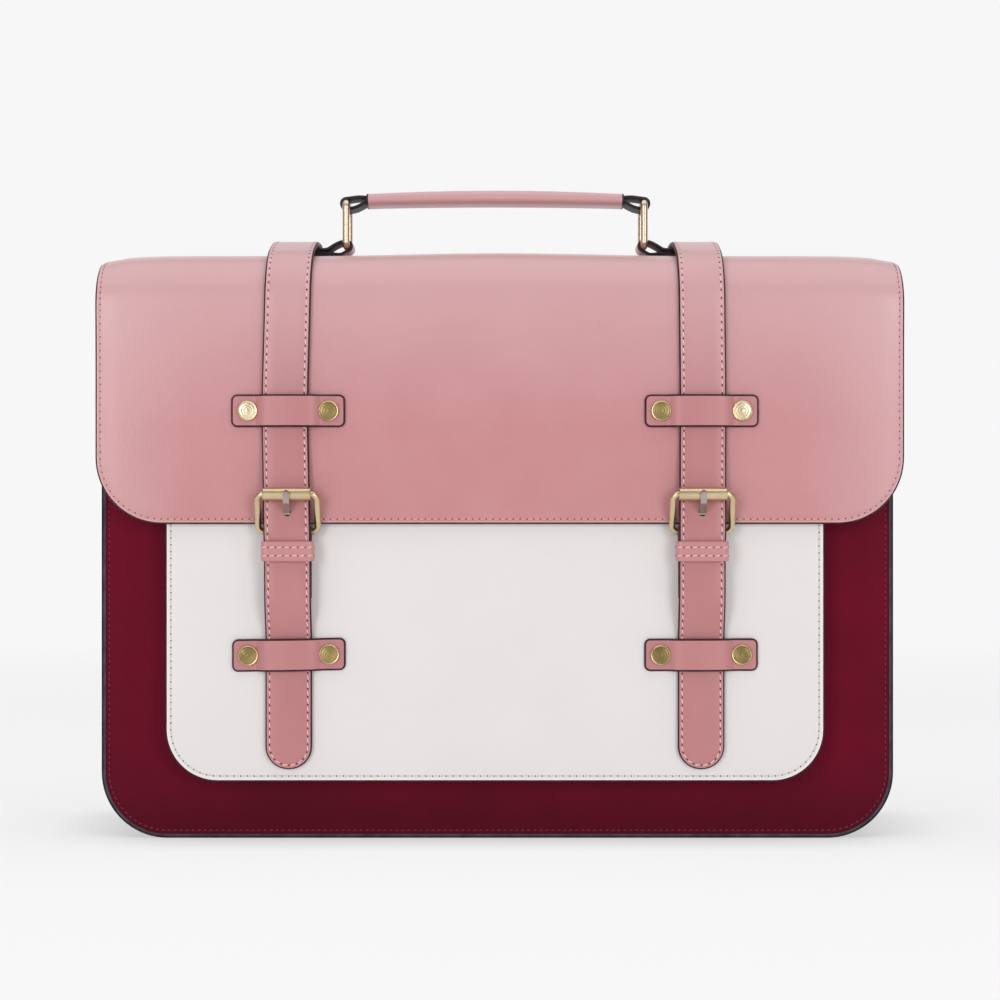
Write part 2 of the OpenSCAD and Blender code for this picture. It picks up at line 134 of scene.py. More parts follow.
class Shading:
    """A new material, with short ways to add its nodes and join them up."""

    def __init__(self, name):
        self.mat = bpy.data.materials.new(name)
        self.mat.use_nodes = True
        self.tree = self.mat.node_tree
        self.shader = self.tree.nodes["Principled BSDF"]

    def set(self, node, inputs):
        """Fills in a node's inputs: each is a value or another node's output."""
        for key, value in inputs.items():
            if isinstance(value, bpy.types.NodeSocket):
                self.tree.links.new(value, node.inputs[key])
            else:
                node.inputs[key].default_value = value

    def node(self, kind, output, inputs, **settings):
        """One output of a new node."""
        node = self.tree.nodes.new("ShaderNode" + kind)
        for key, value in settings.items():
            setattr(node, key, value)
        self.set(node, inputs)
        return node.outputs[output]

    def coords(self, stretch=None):
        """The object's own coordinates."""
        spot = self.node("TexCoord", "Object", {})
        return self.node("Mapping", "Vector", {"Vector": spot, "Scale": stretch}) if stretch else spot

    def noise(self, scale, detail=3.0, stretch=None):
        """Noise at scale cells per metre."""
        spot = self.coords(stretch)
        return self.node("TexNoise", "Fac", {"Vector": spot, "Scale": scale, "Detail": detail})

    def ranged(self, value, low, high, from_low=0.3, from_high=0.7):
        """value mapped from one range to another."""
        return self.node("MapRange", "Result", {"Value": value, "From Min": from_low, "From Max": from_high,
                                                "To Min": low, "To Max": high})

    def join(self, operation, first, second):
        """Two values put together by a sum or a product."""
        return self.node("Math", 0, {0: first, 1: second}, operation=operation)

    def mix(self, factor, first, second):
        """A colour between first and second by factor; each is a colour or an output."""
        first, second = ((*c, 1) if isinstance(c, tuple) else c for c in (first, second))
        return self.node("Mix", 2, {"Factor": factor, 6: first, 7: second}, data_type="RGBA")

    def bump(self, height, strength, distance):
        """The normal for bumps of a height; distance is in metres."""
        return self.node("Bump", "Normal", {"Height": height, "Strength": strength, "Distance": distance})

    def finish(self, colour, rough, **others):
        """The material, with its colour, roughness and other inputs of its shader filled in."""
        others = {key.replace("_", " "): value for key, value in others.items()}
        self.set(self.shader, {"Base Color": colour, "Roughness": rough, **others})
        return self.mat


def leather(name, colour, rim_colour, deep, grain=0.5, rough=(0.42, 0.56), shine=0.5, sheen=0.0, painted_light=()):
    """Coated leather: mottled colour, a rim colour by the stitch crease (a painted highlight on the pink and
    white leathers), and a fine pebbled grain.
    Each entry of the last argument is (axis, from, to, share, colour): painted sheen and shade, as a slow
    change of colour along X, Y or Z in metres."""
    m = Shading(name)
    mottle = m.noise(28, 5)
    body = m.mix(m.ranged(mottle, 0, 1), deep, colour)
    body = m.mix(m.ranged(m.noise(420), 0, 0.22), body, deep)
    body = m.mix(m.node("Attribute", "Fac", {}, attribute_name="rim"), body, rim_colour)
    for axis, start, end, share, tint in painted_light:
        along = m.node("SeparateXYZ", axis, {0: m.coords()})
        body = m.mix(m.ranged(along, 0, share, start, end), body, tint)
    cells = m.node("TexVoronoi", "Distance", {"Vector": m.coords(), "Scale": 1500}, feature="SMOOTH_F1")
    pebbles = m.bump(m.join("ADD", cells, m.noise(900, 4)), grain, 0.00012)
    return m.finish(body, m.ranged(mottle, *rough), Normal=pebbles, Specular_IOR_Level=shine,
                    Sheen_Weight=sheen, Sheen_Roughness=0.45)


def edge_paint_and_hole_shade(name, colour, rough=0.38):
    """Thick edge paint: satin, slightly uneven. The dark needle-hole discs use it too, as painted shade."""
    m = Shading(name)
    wave = m.noise(160)
    lighter = tuple(min(1, c * 1.9 + 0.012) for c in colour)
    return m.finish(m.mix(m.ranged(wave, 0, 1), colour, lighter), m.ranged(wave, rough, rough + 0.15),
                    Normal=m.bump(wave, 0.4, 0.0002), Specular_IOR_Level=0.2)


def cloth(name, colour, dark, threads=5000):
    """Woven lining: crossing threads in colour and bump."""
    m = Shading(name)
    weft, warp = (m.node("TexWave", "Fac", {"Vector": m.coords(turn), "Scale": threads / 6.28,
                                            "Distortion": 0.4}, bands_direction="DIAGONAL")
                  for turn in ((1, 0.02, 0.6), (0.02, 1, 0.6)))
    weave = m.join("MULTIPLY", weft, warp)
    woven = m.mix(m.ranged(weave, 0, 1, 0, 0.8), dark, colour)
    woven = m.mix(m.ranged(m.noise(30), 0, 0.25), woven, dark)
    return m.finish(woven, 0.9, Normal=m.bump(weave, 0.5, 0.0002), Sheen_Weight=0.3)


def metal(name, colour, tarnish, rough=(0.22, 0.38), scratch=700):
    """Plated metal: tarnish patches, brushed micro scratches."""
    m = Shading(name)
    lines = m.noise(scratch, 2, (1, 1, 9))
    return m.finish(m.mix(m.ranged(m.noise(110), 0, 1, 0.35, 0.75), colour, tarnish), m.ranged(lines, *rough),
                    Normal=m.bump(lines, 0.02, 0.0001), Metallic=1)


def thread(name, colour, dark):
    """Waxed thread with a twisted ply."""
    m = Shading(name)
    ply = m.noise(2600, 2)
    return m.finish(m.mix(m.ranged(ply, 0, 1), dark, colour), 0.6, Normal=m.bump(ply, 0.6, 0.0001))


# Painted sheen: the pale colour below is mixed into the pink and strap leathers from about 0.2 m upwards,
# over the flap's top bend, and into the pink towards the flap's two sides, where the leather reflects the
# lights.
PAINTED_SHEEN = (0.60, 0.365, 0.38)
SHEEN_OVER_THE_BEND = ("Z", 0.205, 0.275, 0.7, PAINTED_SHEEN)
PINK = leather("pink_leather", (0.540, 0.239, 0.248), (0.72, 0.41, 0.43), (0.510, 0.215, 0.225), 0.4,
               (0.30, 0.38), sheen=0.16,
               painted_light=(SHEEN_OVER_THE_BEND, ("X", 0.15, 0.195, 0.4, PAINTED_SHEEN), ("X", -0.15, -0.195, 0.4, PAINTED_SHEEN)))
PINK_STRAP = leather("pink_strap_leather", (0.485, 0.196, 0.203), (0.67, 0.36, 0.37), (0.455, 0.178, 0.185),
                     0.4, (0.30, 0.38), sheen=0.16, painted_light=(SHEEN_OVER_THE_BEND,))
PINK_KEEPER = leather("pink_keeper_leather", (0.490, 0.200, 0.207), (0.67, 0.36, 0.37), (0.460, 0.182, 0.189),
                      0.4, (0.37, 0.45), sheen=0.16)
# Painted shade: the burgundy darkens towards the bottom, where less light reaches it.
BURGUNDY = leather("burgundy_leather", (0.150, 0.0035, 0.0185), (0.030, 0.003, 0.008),
                   (0.108, 0.0025, 0.0135), 0.4, (0.40, 0.55), shine=0.05,
                   painted_light=(("Z", 0.05, 0.012, 0.6, (0.060, 0.003, 0.010)),))
WHITE = leather("white_leather", (0.745, 0.712, 0.705), (0.86, 0.80, 0.82), (0.725, 0.692, 0.682), 0.3,
                shine=0.3)
DARK_CORE = leather("dark_strap_leather", (0.020, 0.014, 0.017), (0.03, 0.02, 0.024), (0.012, 0.008, 0.010),
                    0.6, shine=0.2)
EDGE_PLUM = edge_paint_and_hole_shade("plum_edge_paint", (0.026, 0.006, 0.009))
EDGE_GREY = edge_paint_and_hole_shade("grey_edge_paint", (0.016, 0.011, 0.016), 0.30)
EDGE_BODY = edge_paint_and_hole_shade("body_edge_paint", (0.036, 0.029, 0.036), 0.30)
SUEDE = cloth("suede_lining", (0.46, 0.30, 0.28), (0.36, 0.22, 0.205), 7000)
LINING = cloth("lining_cloth", (0.47, 0.39, 0.35), (0.33, 0.26, 0.23))
BRASS = metal("pale_brass", (0.66, 0.53, 0.33), (0.59, 0.46, 0.28), (0.28, 0.34))
RING_BRASS = metal("ring_brass", (0.66, 0.53, 0.40), (0.60, 0.47, 0.35), (0.26, 0.32))
ANTIQUE = metal("antique_brass", (0.37, 0.28, 0.115), (0.14, 0.10, 0.04), (0.30, 0.46), 900)
# Painted highlight: this brighter brass is for the faces of the flap's two outer rivets, which catch the
# light.
GLINT_BRASS = metal("glint_brass", (0.80, 0.69, 0.48), (0.62, 0.50, 0.31), (0.24, 0.34))
RIM_BRASS = metal("rim_brass", (0.72, 0.59, 0.36), (0.50, 0.38, 0.20))
STEEL = metal("prong_metal", (0.50, 0.44, 0.40), (0.36, 0.31, 0.28), (0.28, 0.42))
SNAP = metal("snap_metal", (0.66, 0.63, 0.58), (0.48, 0.45, 0.40))
PINK_THREAD = thread("pink_thread", (0.88, 0.62, 0.63), (0.72, 0.44, 0.46))
FLAP_THREAD = thread("flap_thread", (0.72, 0.39, 0.40), (0.58, 0.28, 0.29))
CRIMSON_THREAD = thread("crimson_thread", (0.25, 0.010, 0.035), (0.14, 0.006, 0.02))
GREY_THREAD = thread("grey_thread", (0.72, 0.66, 0.66), (0.50, 0.44, 0.45))
# Painted shade: dark discs at the needle holes stand in for the shade inside them.
HOLE_SHADE = edge_paint_and_hole_shade("needle_hole", (0.045, 0.010, 0.014), 0.7)
HOLE_SHADE_DARK = edge_paint_and_hole_shade("needle_hole_dark", (0.010, 0.002, 0.004), 0.7)
HOLE_SHADE_GREY = edge_paint_and_hole_shade("needle_hole_grey", (0.10, 0.075, 0.08), 0.7)


# ---- Mesh helpers ----

def new_object(name, data):
    """An object in the scene that shows data."""
    obj = bpy.data.objects.new(name, data)
    bpy.context.scene.collection.objects.link(obj)
    return obj


def make_object(name, points, faces, mats, face_mats=None, rim=None, sharp=50):
    """A smooth mesh object from points in millimetres."""
    mesh = bpy.data.meshes.new(name)
    mesh.from_pydata([tuple(c * MM for c in p) for p in points], [], faces)
    for mat in mats:
        mesh.materials.append(mat)
    if face_mats is not None:
        mesh.polygons.foreach_set("material_index", face_mats)
    if rim is not None:
        attribute = mesh.attributes.new("rim", "FLOAT", "POINT")
        attribute.data.foreach_set("value", np.array(rim, np.float32))
    built = bmesh.new()
    built.from_mesh(mesh)
    bmesh.ops.recalc_face_normals(built, faces=built.faces)
    built.to_mesh(mesh)
    built.free()
    mesh.polygons.foreach_set("use_smooth", [True] * len(mesh.polygons))
    mesh.set_sharp_from_angle(angle=math.radians(sharp))
    return new_object(name, mesh)


def tube_faces(rows, count, wrap=False):
    """The quads between rows of points, where each row is a closed loop of count points. With wrap,
    the last row joins the first."""
    faces = []
    for i in range(rows if wrap else rows - 1):
        here, there = i * count, (i + 1) % rows * count
        for j in range(count):
            k = (j + 1) % count
            faces.append((here + j, here + k, there + k, there + j))
    return faces


def inside(points, loop):
    """Which 2D points lie inside a closed loop."""
    x, y = points[:, 0], points[:, 1]
    result = np.zeros(len(points), bool)
    for (x1, y1), (x2, y2) in zip(loop, np.roll(loop, -1, axis=0)):
        crosses = (y1 > y) != (y2 > y)
        if not crosses.any():
            continue
        at = (x2 - x1) * (y - y1) / (y2 - y1 + 1e-12) + x1
        result ^= crosses & (x < at)
    return result


def fill(loop, inner, step):
    """Grid points inside the inner loop and the triangles that fill the loop: (all points, triangles)."""
    low, high = loop.min(0), loop.max(0)
    counts = np.maximum(2, np.ceil((high - low) / np.array(step)).astype(int))
    u = np.linspace(low[0], high[0], counts[0] + 1)[1:-1]
    v = np.linspace(low[1], high[1], counts[1] + 1)[1:-1]
    grid = np.stack(np.meshgrid(u, v), -1).reshape(-1, 2)
    grid = grid[inside(grid, inner)]
    points = [Vector(p) for p in np.vstack([loop, grid])]
    _, _, faces, origin, _, _ = delaunay_2d_cdt(points, [], [list(range(len(loop)))], 1, 1e-5)
    return np.vstack([loop, grid]), [[origin[i][0] for i in f] for f in faces]


def sheet(name, outline, place, thick, mats, bevel=0.7, crease=None, step=(8, 8), puff=None, base=0.0):
    """A piece of leather with an outline in its own flat coordinates, rounded painted edges and a
    stitch crease. place(a, b, h) gives the point at height h over the sheet's back face."""
    rings = [(bevel, 0, 1), (0.25 * bevel, 0.25 * bevel, 1), (0, bevel, 1), (0, thick - bevel, 1),
             (0.35 * bevel, thick - 0.3 * bevel, 1), (bevel, thick, 0)]
    if crease:
        at, depth = crease
        rings += [(at - 0.9, thick, 0), (at, thick - depth, 0), (at + 0.9, thick, 0)]
    points, rims = [], []
    count = len(outline(0))
    for k, (inset, height, _) in enumerate(rings):
        for a, b in outline(inset):
            points.append(place(a, b, height + base))
        # The ring just inside the top face's rounded edge takes the leather's rim colour: a painted highlight
        # along the rolled edge on the pink and white leathers; the burgundy's rim colour is darker.
        rims += [0.8 if crease and k == 5 else 0.0] * count
    faces = tube_faces(len(rings), count)
    face_mats = [mat for _, _, mat in rings[:-1] for _ in range(count)]
    for ring, height, mat, flip in ((len(rings) - 1, thick, 0, False), (0, 0, 2, True)):
        inset = rings[ring][0]
        spots, tris = fill(outline(inset), outline(inset + 0.35 * min(step)), step)
        start = len(points)
        for a, b in spots[count:]:
            rise = puff(a, b) if puff and not flip else 0
            points.append(place(a, b, height + base + rise))
            rims.append(0.0)
        for tri in tris:
            ids = [ring * count + i if i < count else start + i - count for i in tri]
            faces.append(tuple(reversed(ids)) if flip else tuple(ids))
            face_mats.append(mat)
    mats = list(mats) + [mats[0]] * (3 - len(mats))
    return make_object(name, points, faces, mats, face_mats, rims)


def arc(ca, cb, r, start, end, count):
    """Points along an arc, angles in degrees."""
    angles = np.radians(np.linspace(start, end, count + 1))
    return [(ca + r * math.cos(t), cb + r * math.sin(t)) for t in angles]


def dense(points, step=3.0, closed=False):
    """The same polyline with points no further apart than step."""
    points = [np.array(p, float) for p in points]
    out = []
    for p, q in zip(points, points[1:] + points[:1] * closed):
        length = np.linalg.norm(q - p)
        if length < 1e-6:
            continue
        parts = max(1, int(math.ceil(length / step)))
        out += [p + (q - p) * k / parts for k in range(parts)]
    if not closed:
        out.append(points[-1])
    return np.array(out)


def rounded_rect(a0, a1, b0, b1, radii, step=3.0):
    """A counter-clockwise rounded rectangle as a function of how far it's inset, so that every inset
    copy has the same number of points; radii for corners (a0,b0), (a1,b0), (a1,b1), (a0,b1)."""
    corners = ((a0, b0, 1, 1), (a1, b0, -1, 1), (a1, b1, -1, -1), (a0, b1, 1, -1))
    turns = [max(3, int(r / 2) + 3) for r in radii]
    spans = (a1 - a0, b1 - b0, a1 - a0, b1 - b0)
    runs = [max(1, int((span - radii[k] - radii[(k + 1) % 4]) / step)) for k, span in enumerate(spans)]

    def loop(inset=0.0):
        arcs = []
        for k, (a, b, da, db) in enumerate(corners):
            r = max(radii[k] - inset, 0.02)
            turn = 180 + 90 * k
            arcs.append(arc(a + da * (inset + r), b + db * (inset + r), r, turn, turn + 90, turns[k]))
        points = []
        for k in range(4):
            points += arcs[k]
            end, start = np.array(arcs[k][-1]), np.array(arcs[(k + 1) % 4][0])
            points += [tuple(end + (start - end) * i / runs[k]) for i in range(1, runs[k])]
        return np.array(points)

    return loop


class Route:
    """A polyline in a plane, with smooth normals, read by its length."""

    def __init__(self, points, step=1.5, smooth=3, turn=1):
        self.points = dense(points, step)
        for _ in range(smooth):
            inner = (self.points[:-2] + 2 * self.points[1:-1] + self.points[2:]) / 4
            self.points[1:-1] = inner
        steps = np.linalg.norm(np.diff(self.points, axis=0), axis=1)
        self.along = np.concatenate([[0], np.cumsum(steps)])
        tangent = np.gradient(self.points, self.along, axis=0)
        tangent /= np.linalg.norm(tangent, axis=1)[:, None]
        self.normals = turn * np.stack([tangent[:, 1], -tangent[:, 0]], 1)
        self.length = self.along[-1]

    def at(self, s):
        """(point, outward normal) at length s; beyond the ends it runs straight on."""
        inside_s = min(max(s, 0), self.length)
        p = np.array([np.interp(inside_s, self.along, self.points[:, k]) for k in (0, 1)])
        n = np.array([np.interp(inside_s, self.along, self.normals[:, k]) for k in (0, 1)])
        n /= np.linalg.norm(n)
        return p + (s - inside_s) * np.array([-n[1], n[0]]), n


def ribbon(route, plane, offset=0.0):
    """place() for a sheet that follows a route; its first coordinate runs along the route."""
    def place(a, b, h):
        p, n = route.at(a)
        q = p + n * h
        if plane == "yz":
            return offset + b, q[0], q[1]
        if plane == "xz":
            return q[0], offset + b, q[1]
        return q[0], q[1], offset + b
    return place


def upright(y, facing=-1):
    """place() for a flat sheet in the XZ plane whose back face is at y."""
    def place(a, b, h):
        return a, y + facing * h, b
    return place


# One low-poly sphere, shared by every stitch and needle hole
BALL_RINGS, BALL_SIDES = 4, 8


def ball():
    """(points, faces) of a unit sphere."""
    points = [(0, 0, 1)]
    for i in range(1, BALL_RINGS):
        angle = math.pi * i / BALL_RINGS
        r = math.sin(angle)
        for j in range(BALL_SIDES):
            turn = 2 * math.pi * j / BALL_SIDES
            points.append((r * math.cos(turn), r * math.sin(turn), math.cos(angle)))
    points.append((0, 0, -1))
    faces = []
    for j in range(BALL_SIDES):
        k = (j + 1) % BALL_SIDES
        faces.append((0, 1 + j, 1 + k))
        last = len(points) - 1
        faces.append((last, last - BALL_SIDES + k, last - BALL_SIDES + j))
        for i in range(BALL_RINGS - 2):
            a, b = 1 + i * BALL_SIDES, 1 + (i + 1) * BALL_SIDES
            faces.append((a + j, b + j, b + k, a + k))
    return np.array(points), faces


BALL_POINTS, BALL_FACES = ball()


def seam(name, line, place, height, pitch, mats, thread_r=0.36, hole_r=0.46, closed=False):
    """A row of stitches along a line in a sheet's flat coordinates, with a dark disc at each end: painted
    shade in the needle hole.
    """
    slant = math.radians(9)
    line = dense(line, 0.8, closed=closed)
    if closed:
        line = np.vstack([line, line[:1]])
    steps = np.linalg.norm(np.diff(line, axis=0), axis=1)
    along = np.concatenate([[0], np.cumsum(steps)])
    count = max(1, int(round(along[-1] / pitch)))
    pitch = along[-1] / count
    points, faces, face_mats = [], [], []

    def spot(s, over=0.0):
        """The point at length s along the line."""
        a, b = (np.interp(s, along, line[:, k]) for k in (0, 1))
        return np.array(place(a, b, height + over))

    def add(centre, axes, radii, mat):
        start = len(points)
        points.extend(centre + (BALL_POINTS * radii) @ axes)
        for f in BALL_FACES:
            faces.append(tuple(start + i for i in f))
            face_mats.append(mat)

    for i in range(count):
        middle = (i + 0.5) * pitch
        first = spot(middle - 0.45 * pitch)
        up = spot(middle, 1) - spot(middle)
        tangent = spot(middle + 0.45 * pitch) - first
        length = np.linalg.norm(tangent)
        tangent /= length
        side = np.cross(up, tangent)
        side /= np.linalg.norm(side)
        up = np.cross(tangent, side)
        tangent, side = (math.cos(slant) * tangent + math.sin(slant) * side,
                         math.cos(slant) * side - math.sin(slant) * tangent)
        axes = np.stack([tangent, side, up])
        add(spot(middle, 0.08), axes, (0.38 * length, thread_r, 0.8 * thread_r), 0)
        add(first, axes, (hole_r, hole_r, 0.22), 1)
    return make_object(name, points, faces, mats, face_mats)


def lathe(name, profile, centre, axis, mats, second_from=99, sides=48):
    """A turned piece: profile points are (radius, distance along axis). From row second_from on it
    has the second material."""
    axis = Vector(axis).normalized()
    turn = axis.to_track_quat("Z", "Y").to_matrix()
    points = []
    for r, h in profile:
        for j in range(sides):
            t = 2 * math.pi * j / sides
            p = turn @ Vector((r * math.cos(t), r * math.sin(t), h))
            points.append(tuple(p + Vector(centre)))
    faces = tube_faces(len(profile), sides)
    faces += [tuple(range(sides)), tuple(range(len(points) - sides, len(points)))]
    row_mats = [1 if i >= second_from else 0 for i in range(len(profile) - 1)]
    face_mats = [mat for mat in row_mats for _ in range(sides)] + [0, row_mats[-1]]
    return make_object(name, points, faces, mats, face_mats, sharp=40)


def finish_piece(obj, body=None, replaced=()):
    """Hides the CAD nodes that a piece stands for and attaches it to the body it rides on."""
    if replaced:
        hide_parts(*replaced)
    if body:
        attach(obj, body)
    return obj


# ---- Flap: one sheet from the back anchor, over the bend and the crown, down the front ----

crown_z = flap_top - CROWN_R


def bend_centre(y, r):
    """The centre of a bend of radius r at depth y that runs smoothly into the crown."""
    return y, crown_z + math.sqrt((CROWN_R - r) ** 2 - y * y)


front_c = bend_centre(flap_y + FRONT_BEND_R, FRONT_BEND_R)
back_c = bend_centre(anchor_y - BACK_BEND_R, BACK_BEND_R)
front_angle = math.degrees(math.atan2(front_c[1] - crown_z, front_c[0]))
back_angle = math.degrees(math.atan2(back_c[1] - crown_z, back_c[0]))


def ramp(u):
    """A smooth step from 0 to 1."""
    u = min(max(u, 0), 1)
    return u * u * (3 - 2 * u)


def over_the_top(offset, lift=lambda y: 0.0):
    """The flap's outer face from the back bend to the front bend, moved out by offset and lift."""
    points = []
    for (cy, cz), r, start, end, count in ((back_c, BACK_BEND_R, 0, back_angle, 14),
                                           ((0, crown_z), CROWN_R, back_angle, front_angle, 60),
                                           (front_c, FRONT_BEND_R, front_angle, 180, 24)):
        for t in np.radians(np.linspace(start, end, count + 1)):
            far = r + offset + lift(cy + r * math.cos(t))
            points.append((cy + far * math.cos(t), cz + far * math.sin(t)))
    return points


flap_route = Route([(anchor_y, anchor_lo[2])] + over_the_top(0) + [(flap_y, flap_lo[2])], 2.0, 2)


def flap_place(a, b, h):
    """A point of the flap: a along the route, b across the bag, h out of its outer face."""
    p, n = flap_route.at(a)
    share = abs(b) / flap_half
    top = ramp((p[1] - 255) / 38)
    rise = top * (CROWN_RISE * (1 - ramp(2 * share)) - CROWN_DROP * share ** 20)
    uneven = 0.15 * top * math.sin(b / 31.0) * math.sin(a / 47.0)
    # The front's two outer ends lean back towards the body
    lean = 1.6 * ramp((abs(b) - 150) / 70) ** 2 * ramp((290 - p[1]) / 60) if p[0] < 0 else 0
    out = h + uneven - lean
    return b + FLAP_SHIFT, p[0] + n[0] * out, p[1] + n[1] * out + rise


# A depth in metres, listed in each upper strap's bend entry; this script bends nothing with it
BEND_END_Y = 0.033


def flap():
    """The flap's leather, its suede lining and its stitches, all one sheet from back to front."""
    length = flap_route.length
    r = CORNER_R - 4
    outline = rounded_rect(0, length, -flap_half, flap_half, (6, CORNER_R, CORNER_R, 6))
    inner = rounded_rect(40, length - 4, 4 - flap_half, flap_half - 4, (4, r, r, 4))
    outer = sheet("flap_leather", outline, flap_place, FLAP_T, (PINK, EDGE_PLUM, SUEDE), 0.85, (2.5, 0.25),
                  (2.6, 9), base=-FLAP_T)
    suede = sheet("flap_suede_lining", inner, flap_place, LINING_T, (SUEDE, SUEDE), 0.2, None, (2.6, 9),
                  base=-FLAP_T - LINING_T - 0.05)
    stitches = seam("flap_stitches", outline(2.5), flap_place, -0.2, 3.35, (FLAP_THREAD, HOLE_SHADE), 0.28, 0.36,
                    closed=True)
    finish_piece(outer, None, ("flap_panel", "flap_bend", "flap_anchor"))
    finish_piece(suede, None, ("flap_lining",))
    finish_piece(stitches)
    for piece in (outer, suede, stitches):
        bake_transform(piece)


flap()


# ---- Body panels ----

def body_panel(name, lo, hi, y, facing, node):
    """A front or back panel: burgundy, thick dark edge, crimson stitches."""
    half = hi[0] + BODY_EXTRA
    loop = rounded_rect(-half, half, lo[2], hi[2], (CORNER_R, CORNER_R, 6, 6))

    def place(a, b, h):
        return BODY_SHIFT - facing * a, y + facing * h, b

    middle = (lo[2] + hi[2]) / 2

    def puff(a, b):
        return 0.5 * math.cos(a / half * math.pi / 2) * math.cos((b - middle) / middle * math.pi / 2)

    panel = sheet(name, loop, place, 2.4, (BURGUNDY, EDGE_BODY, LINING), 2.0, (3.9, 0.25), (9, 9), puff)
    finish_piece(panel, "bag", (node,))
    stitches = seam(name + "_stitches", loop(3.9), place, 2.25, 3.0, (CRIMSON_THREAD, HOLE_SHADE_DARK), 0.28, 0.34,
                    closed=True)
    finish_piece(stitches, "bag")


body_panel("front_leather", panel_lo, panel_hi, panel_hi[1], -1, "front_panel")
body_panel("back_leather", back_lo, back_hi, back_lo[1], 1, "back_panel")


# ---- Gusset and lining ----

BAND_STEP = 4.0


def u_route(half, low, top, r):
    """A U in the XZ plane from the top left, round the base, to the top right."""
    points = [(-half, top)] + arc(r - half, low + r, r, 180, 270, 12)
    return Route(points + arc(half - r, low + r, r, 270, 360, 12) + [(half, top)], BAND_STEP, 1)


def swept_band(name, route, section, mats, sag=None, shift=0.0):
    """A closed cross-section of (y, out, material) points swept along a U-shaped route."""
    stations = int(route.length / BAND_STEP) + 1
    points = []
    count = len(section)
    for i in range(stations + 1):
        p, n = route.at(route.length * i / stations)
        for y, out, _ in section:
            d = out - (sag(y, p[1]) if sag else 0)
            points.append((p[0] + n[0] * d + shift, y, p[1] + n[1] * d))
    faces = tube_faces(stations + 1, count)
    faces += [tuple(range(count)), tuple(range(stations * count, (stations + 1) * count))]
    face_mats = [mat for _, _, mat in section] * stations + [1, 1]
    return make_object(name, points, faces, mats, face_mats, sharp=45)


def gusset():
    """A band round both sides and the base: dark edges beside both panels, and a wall sunk between
    them that sinks in further towards the top."""
    route = u_route(panel_hi[0] + BODY_EXTRA - 0.4, 0.2, gusset_hi[2], CORNER_R)
    end = gusset_hi[1]
    wall = -4.0
    edge = [(end, -0.4, 1), (end - 0.5, 0, 1), (end - 1.4, 0, 1), (end - 1.9, -0.4, 0),
            (end - 2.0, wall + 0.6, 0), (end - 2.8, wall, 0)]
    section = [(-y, out, mat) for y, out, mat in edge]
    section += [(y, wall, 0) for y in np.linspace(6 - end, end - 6, 15)]
    section += [(y, out, 1 if i < 4 else 0) for i, (y, out, _) in reversed(list(enumerate(edge)))]
    section += [(y, wall - 2.0, 0) for y in np.linspace(end, -end, 20)]

    def sag(y, z):
        rise = ramp((z - 30) / 220)
        middle = math.cos(min(1, abs(y) / (end - 3)) * math.pi / 2)
        crease = math.exp(-(y / 5.0) ** 2)
        return rise * (2.6 * middle + 1.2 * crease) + 0.3 * middle

    band = swept_band("gusset_leather", route, section, (BURGUNDY, EDGE_GREY), sag, BODY_SHIFT)
    finish_piece(band, "bag", ("gusset",))


def lining():
    """Cloth walls inside the body, open at the top."""
    half, low, r = lining_hi[0] - 5, lining_lo[2] + 0.3, CORNER_R - 8
    depth = lining_hi[1] - 0.4
    section = [(y, 0, 0) for y in np.linspace(-depth, depth, 18)]
    section += [(y, -0.6, 0) for y in np.linspace(depth, -depth, 18)]
    sides = swept_band("lining_sides", u_route(half, low, lining_hi[2], r), section, (LINING, LINING))
    finish_piece(sides, "bag", ("lining",))
    outline = rounded_rect(-half, half, low, lining_hi[2], (r, r, 2, 2))
    for label, facing in (("front", 1), ("back", -1)):
        wall = sheet("lining_" + label, outline, upright(-facing * depth, facing), 0.6, (LINING, LINING), 0.2,
                     None, (14, 14))
        finish_piece(wall, "bag")


gusset()
lining()


# ---- Pocket ----

def pocket():
    """The pocket's white front: it swells very slightly between its stitched edges."""
    half = pocket_hi[0] + POCKET_EXTRA
    outline = rounded_rect(-half, half, pocket_lo[2], pocket_hi[2], (26, 26, 5, 5))
    fullest_z, reach, swell = 110, 82, 0.22

    def puff(a, b):
        across = math.cos(a / pocket_hi[0] * math.pi / 2)
        up = math.cos((b - fullest_z) / reach * math.pi / 2)
        return swell * across * max(up, 0)

    front = sheet("pocket_leather", outline, upright(pocket_hi[1]), 2.2, (WHITE, EDGE_PLUM, LINING), 0.9,
                  (2.9, 0.22), (8, 8), puff)
    finish_piece(front, "bag", ("pocket_panel",))
    stitches = seam("pocket_stitches", outline(2.9), upright(pocket_hi[1]), 2.05, 3.4,
                    (GREY_THREAD, HOLE_SHADE_GREY), 0.28, 0.42, closed=True)
    finish_piece(stitches, "bag")


def pocket_gusset():
    """The pocket's side wall, which sinks in between the pocket and the body."""
    front, back = pocket_hi[1] + 0.05, panel_lo[1] - 0.1

    def face(level, sink, first, last):
        return [(y, level - sink * math.sin(math.pi * (y - front) / (back - front)), 0)
                for y in np.linspace(first, last, 9)]

    route = u_route(pocket_hi[0] + POCKET_EXTRA - 0.8, pocket_lo[2] + 0.6, pocket_hi[2], 25.4)
    section = face(-0.6, 1.2, front, back) + face(-2.6, 1.0, back, front)
    band = swept_band("pocket_gusset_leather", route, section, (WHITE, EDGE_PLUM))
    finish_piece(band, "bag", ("pocket_gusset",))


pocket()
pocket_gusset()


# ---- Closing straps ----

tab_edge = abs(handle_y) + (tab_hi[1] - tab_lo[1]) / 2
tab_lift = tab_lo[2] + 2 * TAB_T - (crown_z + math.sqrt(CROWN_R ** 2 - tab_edge ** 2))


